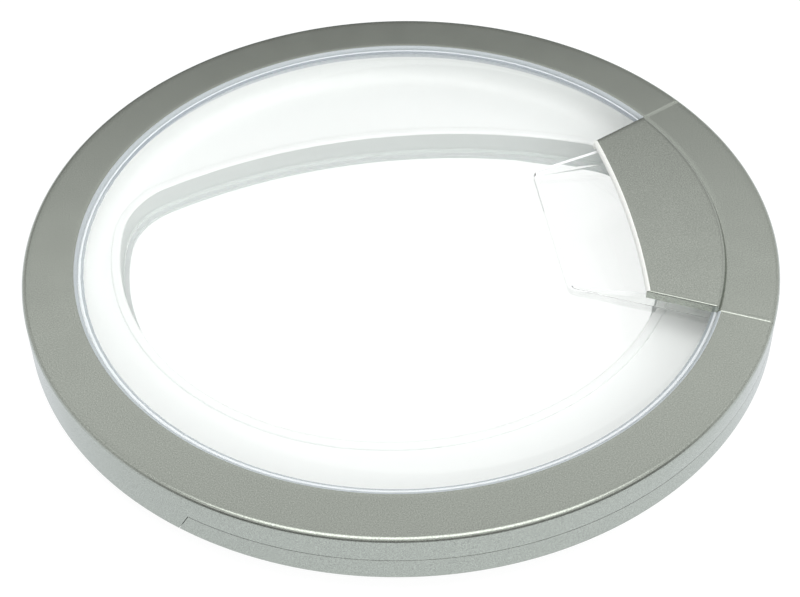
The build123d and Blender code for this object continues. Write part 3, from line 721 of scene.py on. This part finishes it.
# Pane seal: a thin gasket of pale rubber, cut from sheet, that lies on the collar's ledge. The pane
# rests on it and holds it in place.
pane_under = ledge_top + 0.8 * MM
pale_rubber = finish("pale_rubber", (0.62, 0.64, 0.64), (0.56, 0.58, 0.58), 0.75, grain=900.0, lift=0.03)
gasket_rows = [
    opening_row(-pane_ledge, ledge_top),
    opening_row(-fit_gap, ledge_top),
    opening_row(-fit_gap, pane_under),
    opening_row(-pane_ledge, pane_under),
    opening_row(-pane_ledge, ledge_top),
]
piece("pane_gasket", [pale_rubber], [np.stack(gasket_rows, axis=1)], "pane_seal")

# Inner pane: clear pane with lightly broken edges that lies in the collar on its gasket and keeps
# the drum's heat behind the front panel.
pane_top = pane_under + 4.0 * MM
pane_break = 0.3 * MM
pane_edge = [
    opening_row(-fit_gap - pane_break, pane_under),
    opening_row(-fit_gap, pane_under + pane_break),
    opening_row(-fit_gap, pane_top - pane_break),
    opening_row(-fit_gap - pane_break, pane_top),
]
pane_middle_low = np.tile([0.0, 0.0, pane_under], (len(opening_ways), 1))
pane_middle_high = np.tile([0.0, 0.0, pane_top], (len(opening_ways), 1))
pane_low = [pane_middle_low, *between(pane_middle_low, pane_edge[0], 4), pane_edge[0]]
pane_high = [pane_edge[-1], *between(pane_edge[-1], pane_middle_high, 4), pane_middle_high]
clear_pane = clear_finish("clear_pane", (0.98, 0.995, 0.99), clear_index)
# The pane's edge is a pale, half clear tint: painted light that lifts the shade in the gap beside the
# collar's wall.
pane_edge_painted_light = clear_finish("pane_edge_painted_light", (0.84, 0.88, 0.86), clear_index, clear_share=0.4, roughness=0.2)
pane_grids = [np.stack(rows, axis=1) for rows in (pane_low, pane_edge, pane_high)]
pane = piece("pane", [clear_pane, pane_edge_painted_light, clear_pane], pane_grids, "inner_pane", crease=25.0)
lets_light_through(pane)

# Drum seal: a dark rubber profile, extruded and bent round the collar, that closes against the
# drum's mouth. Its rear edge is rounded.
seal_inner = collar_wall + fit_gap
seal_outer = seal_inner + 8.0 * MM
seal_foot = shelf_under - 7.0 * MM
seal_round = 2.5 * MM
seal_out = [
    opening_row(seal_outer - seal_round * (1 - np.cos(a)), seal_foot + seal_round * (1 - np.sin(a)))
    for a in quarter
]
seal_in = [
    opening_row(seal_inner + seal_round * (1 - np.cos(a)), seal_foot + seal_round * (1 - np.sin(a)))
    for a in quarter[::-1]
]
seal_rows = [opening_row(seal_inner, shelf_under), opening_row(seal_outer, shelf_under), *seal_out, *seal_in]
dark_rubber = finish("dark_rubber", (0.055, 0.057, 0.06), (0.04, 0.041, 0.043), 0.7, grain=1100.0, lift=0.03)
piece("drum_mouth_seal", [dark_rubber], [np.stack([*seal_rows, seal_rows[0]], axis=1)], "drum_seal")

# Rear ring: the second silver-painted moulding, a flat flange behind the inner frame with a low
# skirt that closes up to the front ring. It stops short at the deep tab over the hinge.
flange_inner = upstand_outer - 1.7 * MM
tab_room = ring_radius - skirt_wall - fit_gap
seam_gap = 0.15 * MM
tab_gap = 0.4 * MM
band_top = seam_z - seam_gap
flange_top = shelf_under
band_profile = looped(
    polyline(
        (flange_inner, rear_z),
        rear_edge[::-1],
        (ring_radius, band_top - seam_break),
        (ring_radius - seam_break, band_top),
        (ring_radius - skirt_wall, band_top),
        (ring_radius - skirt_wall, flange_top),
        (flange_inner, flange_top),
    )
)
bare_rise = np.linspace(rear_z, flange_top, len(rear_edge) + 4)
bare_side = np.stack([np.full_like(bare_rise, tab_room), bare_rise], -1)
bare_profile = looped(polyline((flange_inner, rear_z), bare_side, (flange_inner, flange_top)))


def tab_half(height):
    """Half the angle that the tab takes up at a height, with the seam beside it."""
    share = np.clip((seam_z - height) / (seam_z - rear_z), 0.0, 1.0)
    return tab_half_angle - tab_taper * share + tab_gap / ring_radius


band_spread = np.linspace(-1.0, 1.0, 300)[:, None]
bare_spread = np.linspace(-1.0, 1.0, 120)[:, None]
band_grid = carried_round(band_profile, band_spread * (np.pi - tab_half(band_profile[:, 1])))
bare_grid = carried_round(bare_profile, np.pi + bare_spread * tab_half(bare_profile[:, 1]))
rear_grid = np.concatenate([band_grid, bare_grid, band_grid[:1]])
piece("rear_ring_moulding", [silver_paint], [rear_grid], "rear_ring")

# Screws: bright zinc-plated steel, cold-headed. They clamp the rings, hold the grip from behind,
# and fix the hinge leaf and the latch hook.
def dress(material, *names):
    """Gives the solids of these pieces their finish."""
    for name in names:
        for place in frame["nodes"][name].material_slots:
            place.link = "OBJECT"
            place.material = material


zinc_tone, zinc_shade = (0.66, 0.66, 0.63), (0.55, 0.55, 0.53)
bright_zinc = finish("bright_zinc", zinc_tone, zinc_shade, 0.3, metallic=1.0, grain=1500.0, lift=0.02)
dress(bright_zinc, "frame_screws", "handle_screws", "hinge_screws", "latch_screws")

# Hinge: two zinc-plated steel leaves with rolled knuckles on one pin. The door leaf is screwed
# under the rear ring; the cabinet leaf turns about the pin in two plastic bushes, and a spring
# clip keeps the pin in place.
leaf_stretch = (1.0, 0.08, 1.0)
leaf_tone, leaf_shade = (0.56, 0.57, 0.56), (0.46, 0.47, 0.46)
leaf_steel = finish(
    "leaf_steel", leaf_tone, leaf_shade, 0.36, metallic=1.0, grain=1800.0, lift=0.02, stretch=leaf_stretch
)
dress(leaf_steel, "hinge_arm", "hinge_plate")
dress(bright_zinc, "hinge_pin", "pin_clip")
bush_plastic = finish("bush_plastic", (0.80, 0.78, 0.70), (0.74, 0.72, 0.64), 0.5, grain=1600.0, lift=0.02)
dress(bush_plastic, "upper_bush", "lower_bush")

# Latch hook: a grey plastic moulding, glass-filled, screwed under the rear ring opposite the
# hinge, that the catch in the machine takes hold of.
hook_tone, hook_shade = (0.105, 0.11, 0.115), (0.08, 0.083, 0.088)
grey_plastic = finish("grey_plastic", hook_tone, hook_shade, 0.5, grain=1300.0, lift=0.03)
dress(grey_plastic, "latch_hook")

# Floor: a wide pale sheet that the door lies on. To the eye and through the clear pieces it is white,
# in reflections a little cooler, and it keeps part of the door's soft shadow.
floor_half = 6.0
floor_drop = 0.05 * MM
floor_mesh = bpy.data.meshes.new("floor")
floor_corners = floor_half * np.array([[-1, -1, 0], [1, -1, 0], [1, 1, 0], [-1, 1, 0]], dtype=float)
floor_mesh.from_pydata(floor_corners - [0.0, 0.0, floor_drop], [], [(0, 1, 2, 3)])
floor = bpy.data.objects.new("floor", floor_mesh)
bpy.context.scene.collection.objects.link(floor)


def seen_by(nodes, links, share, *rays):
    """A node socket that is share for the named kinds of ray and 0 for the others: the greatest of
    their marks, one after the other, times the share."""
    path = nodes.new("ShaderNodeLightPath")
    mark = path.outputs[rays[0]]
    for ray in rays[1:]:
        greatest = nodes.new("ShaderNodeMath")
        greatest.operation = "MAXIMUM"
        links.new(mark, greatest.inputs[0])
        links.new(path.outputs[ray], greatest.inputs[1])
        mark = greatest.outputs[0]
    part = nodes.new("ShaderNodeMath")
    part.operation = "MULTIPLY"
    part.inputs[1].default_value = share
    links.new(mark, part.inputs[0])
    return part.outputs[0]


floor_white = 0.82
floor_glow_share = 0.8
floor_glow_strength = 1.12
plain_white = (1.0, 1.0, 1.0, 1.0)
cool_white = (0.91, 0.945, 1.0, 1.0)
floor_finish = bpy.data.materials.new("floor_sheet")
floor_finish.use_nodes = True
floor_nodes, floor_links = floor_finish.node_tree.nodes, floor_finish.node_tree.links
floor_nodes.remove(floor_nodes["Principled BSDF"])
sheet = floor_nodes.new("ShaderNodeBsdfDiffuse")
sheet.inputs["Color"].default_value = (floor_white, floor_white, floor_white, 1.0)
glow = floor_nodes.new("ShaderNodeEmission")
glow.inputs["Strength"].default_value = floor_glow_strength
cool = floor_nodes.new("ShaderNodeMixRGB")
cool.inputs["Color1"].default_value = plain_white
cool.inputs["Color2"].default_value = cool_white
floor_links.new(seen_by(floor_nodes, floor_links, 1.0, "Is Reflection Ray"), cool.inputs["Fac"])
floor_links.new(cool.outputs["Color"], glow.inputs["Color"])
both = floor_nodes.new("ShaderNodeMixShader")
direct_rays = ["Is Camera Ray", "Is Glossy Ray", "Is Transmission Ray"]
floor_links.new(seen_by(floor_nodes, floor_links, floor_glow_share, *direct_rays), both.inputs[0])
floor_links.new(sheet.outputs[0], both.inputs[1])
floor_links.new(glow.outputs[0], both.inputs[2])
floor_links.new(both.outputs[0], floor_nodes["Material Output"].inputs["Surface"])
floor_mesh.materials.append(floor_finish)

# Light: a soft box over the door, two more beside the photographer and to the right that only lift
# the shadows, and a room with pale side walls, bright overhead and dim ahead, with a white backdrop.
def soft_box(name, width, depth, power, place, aim_at, mirrored):
    """An area lamp at a place, turned so that it shines towards a point, staged with the floor."""
    data = bpy.data.lights.new(name, "AREA")
    data.shape = "RECTANGLE"
    data.size, data.size_y, data.energy = width, depth, power
    box = bpy.data.objects.new(name, data)
    box.location = place
    box.rotation_euler = (Vector(aim_at) - Vector(place)).to_track_quat("-Z", "Y").to_euler()
    box.visible_glossy = mirrored
    bpy.context.scene.collection.objects.link(box)


soft_box("overhead_box", 1.7, 1.2, 12.4, (0.0, -0.35, 1.7), (0.0, -0.35, 0.0), mirrored=True)
soft_box("fill_box", 1.4, 1.0, 18.5, (0.3, -1.7, 0.9), (0.0, 0.1, 0.02), mirrored=False)
soft_box("side_box", 0.8, 0.8, 5.5, (1.6, 0.0, 0.8), (0.0, 0.0, 0.02), mirrored=False)
room = bpy.data.worlds.new("room")
bpy.context.scene.world = room
room.use_nodes = True
room_nodes, room_links = room.node_tree.nodes, room.node_tree.links
way = room_nodes.new("ShaderNodeTexCoord")
split = room_nodes.new("ShaderNodeSeparateXYZ")
room_links.new(way.outputs["Generated"], split.inputs["Vector"])
heights = room_nodes.new("ShaderNodeValToRGB")
bands = [(0.605, 0.05), (0.655, 1.05), (0.72, 1.0), (0.80, 0.56), (0.95, 0.95)]
heights.color_ramp.elements[0].position, heights.color_ramp.elements[1].position = bands[0][0], bands[-1][0]
for height, _ in bands[1:-1]:
    heights.color_ramp.elements.new(height)
for stop, (_, grey) in zip(heights.color_ramp.elements, bands):
    stop.color = (grey, grey, grey, 1.0)
room_links.new(split.outputs["Z"], heights.inputs["Fac"])
wall_start, wall_end, wall_grey = 0.6, 0.95, 0.7
wall_ahead_share = 0.5
sideways = room_nodes.new("ShaderNodeMath")
sideways.operation = "ABSOLUTE"
room_links.new(split.outputs["X"], sideways.inputs[0])
ahead_sideways = room_nodes.new("ShaderNodeMath")
ahead_sideways.operation = "MULTIPLY_ADD"
ahead_sideways.inputs[1].default_value = wall_ahead_share
room_links.new(split.outputs["Y"], ahead_sideways.inputs[0])
room_links.new(sideways.outputs[0], ahead_sideways.inputs[2])
side_walls = room_nodes.new("ShaderNodeMapRange")
side_walls.inputs["From Min"].default_value = wall_start
side_walls.inputs["From Max"].default_value = wall_end
side_walls.inputs["To Max"].default_value = wall_grey
room_links.new(ahead_sideways.outputs[0], side_walls.inputs["Value"])
brighter = room_nodes.new("ShaderNodeMath")
brighter.operation = "MAXIMUM"
room_links.new(heights.outputs["Color"], brighter.inputs[0])
room_links.new(side_walls.outputs["Result"], brighter.inputs[1])
room_links.new(brighter.outputs[0], room_nodes["Background"].inputs["Color"])
backdrop = room_nodes.new("ShaderNodeBackground")
backdrop.inputs["Color"].default_value = plain_white
either = room_nodes.new("ShaderNodeMixShader")
backdrop_rays = ["Is Camera Ray", "Is Transmission Ray"]
room_links.new(seen_by(room_nodes, room_links, 1.0, *backdrop_rays), either.inputs[0])
room_links.new(room_nodes["Background"].outputs[0], either.inputs[1])
room_links.new(backdrop.outputs[0], either.inputs[2])
room_links.new(either.outputs[0], room_nodes["World Output"].inputs["Surface"])

# Camera: the photographer's place above the near edge, found from the ring's outline. It stands a
# little towards the hinge, so the grip lies to the right and slightly away.
picture_width = 800.0
focal_pixels = 1734.0
sensor = 36.0
camera_distance = 1.139
camera_rise = np.radians(42.72)
camera_pitch, camera_yaw, camera_roll = np.radians([-1.93, -0.04, -1.24])
door_turn = np.radians(-7.4)
toward = np.array([0.0, np.cos(camera_rise), -np.sin(camera_rise)])
upward = np.array([0.0, np.sin(camera_rise), np.cos(camera_rise)])
aim = toward * np.cos(camera_pitch) * np.cos(camera_yaw) + upward * np.sin(camera_pitch) * np.cos(camera_yaw)
aim = aim + np.array([np.sin(camera_yaw), 0.0, 0.0])
aim /= np.linalg.norm(aim)
level = np.cross(aim, upward)
level /= np.linalg.norm(level)
over = np.cross(level, aim)
right = level * np.cos(camera_roll) + over * np.sin(camera_roll)
top = over * np.cos(camera_roll) - level * np.sin(camera_roll)
turn_cos, turn_sin = np.cos(door_turn), np.sin(door_turn)
spin = np.array([[turn_cos, -turn_sin, 0.0], [turn_sin, turn_cos, 0.0], [0.0, 0.0, 1.0]])
camera_place = spin @ (-camera_distance * toward) + np.array([0.0, 0.0, front_z])
pose = np.eye(4)
pose[:3, :3] = np.stack([spin @ right, spin @ top, -(spin @ aim)], -1)
pose[:3, 3] = camera_place
camera_data = bpy.data.cameras.new("photographer")
camera_data.sensor_width = sensor
camera_data.lens = sensor * focal_pixels / picture_width
camera = bpy.data.objects.new("photographer", camera_data)
bpy.context.scene.collection.objects.link(camera)
camera.matrix_world = Matrix(pose.tolist())
bpy.context.scene.camera = camera
bpy.context.scene.view_settings.view_transform = "Standard"
